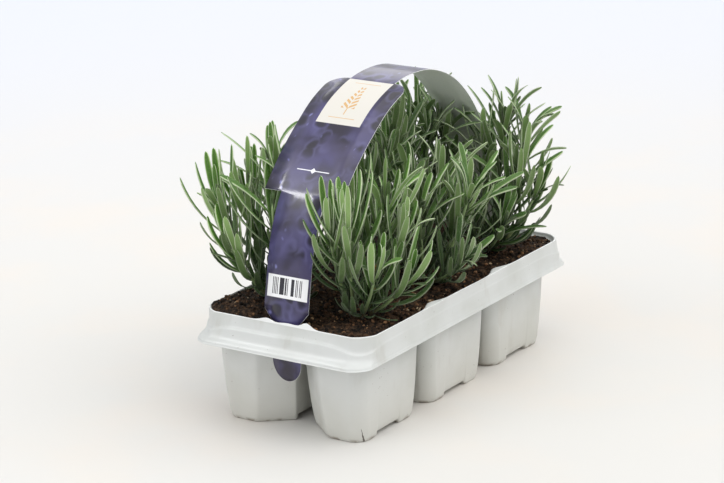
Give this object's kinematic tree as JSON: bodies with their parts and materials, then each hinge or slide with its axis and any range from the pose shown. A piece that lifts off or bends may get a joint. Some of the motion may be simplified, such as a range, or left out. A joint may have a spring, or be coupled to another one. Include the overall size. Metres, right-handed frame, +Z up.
{
  "type": "potted lavender",
  "caption": "Tray of young leafy lavender plants in soil, in a thin white plastic cell tray with a printed card strip bent over it as a carry handle.",
  "frame": {"origin": "middle of the object's box at ground level, close to the middle of the tray", "axes": "+X along the tray, from the end with the wide printed panel to the other end; +Y across the tray, from the front row to the back row; +Z up"},
  "size_m": [0.28, 0.1804, 0.2229],
  "materials": {
    "tray_plastic": "thin off-white sheet plastic, satin, with a brighter cut edge",
    "moist_soil": "dark brown moist peat and coir crumbs with lighter fibres",
    "printed_card": "glossy printed strip, purple pattern outside, plain grey underside, white cut edges",
    "lavender_leaf": "soft felted grey-green leaves with pale rolled edges"
  },
  "bodies": {
    "root": {"tray": "tray_plastic", "carry_handle": "printed_card", "soil_front_1": "moist_soil", "soil_back_1": "moist_soil", "soil_front_2": "moist_soil", "soil_back_2": "moist_soil", "soil_front_3": "moist_soil", "soil_back_3": "moist_soil", "shoot_front_1_1": "lavender_leaf", "shoot_front_1_2": "lavender_leaf", "shoot_front_1_3": "lavender_leaf", "shoot_front_1_4": "lavender_leaf", "shoot_front_1_5": "lavender_leaf", "shoot_front_1_6": "lavender_leaf", "shoot_front_1_7": "lavender_leaf", "shoot_back_1_1": "lavender_leaf", "shoot_back_1_2": "lavender_leaf", "shoot_back_1_3": "lavender_leaf", "shoot_back_1_4": "lavender_leaf", "shoot_back_1_5": "lavender_leaf", "shoot_back_1_6": "lavender_leaf", "shoot_back_1_7": "lavender_leaf", "shoot_front_2_1": "lavender_leaf", "shoot_front_2_2": "lavender_leaf", "shoot_front_2_3": "lavender_leaf", "shoot_front_2_4": "lavender_leaf", "shoot_front_2_5": "lavender_leaf", "shoot_front_2_6": "lavender_leaf", "shoot_front_2_7": "lavender_leaf", "shoot_back_2_1": "lavender_leaf", "shoot_back_2_2": "lavender_leaf", "shoot_back_2_3": "lavender_leaf", "shoot_back_2_4": "lavender_leaf", "shoot_back_2_5": "lavender_leaf", "shoot_back_2_6": "lavender_leaf", "shoot_back_2_7": "lavender_leaf", "shoot_front_3_1": "lavender_leaf", "shoot_front_3_2": "lavender_leaf", "shoot_front_3_3": "lavender_leaf", "shoot_front_3_4": "lavender_leaf", "shoot_front_3_5": "lavender_leaf", "shoot_front_3_6": "lavender_leaf", "shoot_front_3_7": "lavender_leaf", "shoot_back_3_1": "lavender_leaf", "shoot_back_3_2": "lavender_leaf", "shoot_back_3_3": "lavender_leaf", "shoot_back_3_4": "lavender_leaf", "shoot_back_3_5": "lavender_leaf", "shoot_back_3_6": "lavender_leaf", "shoot_back_3_7": "lavender_leaf"}
  },
  "joints": []
}
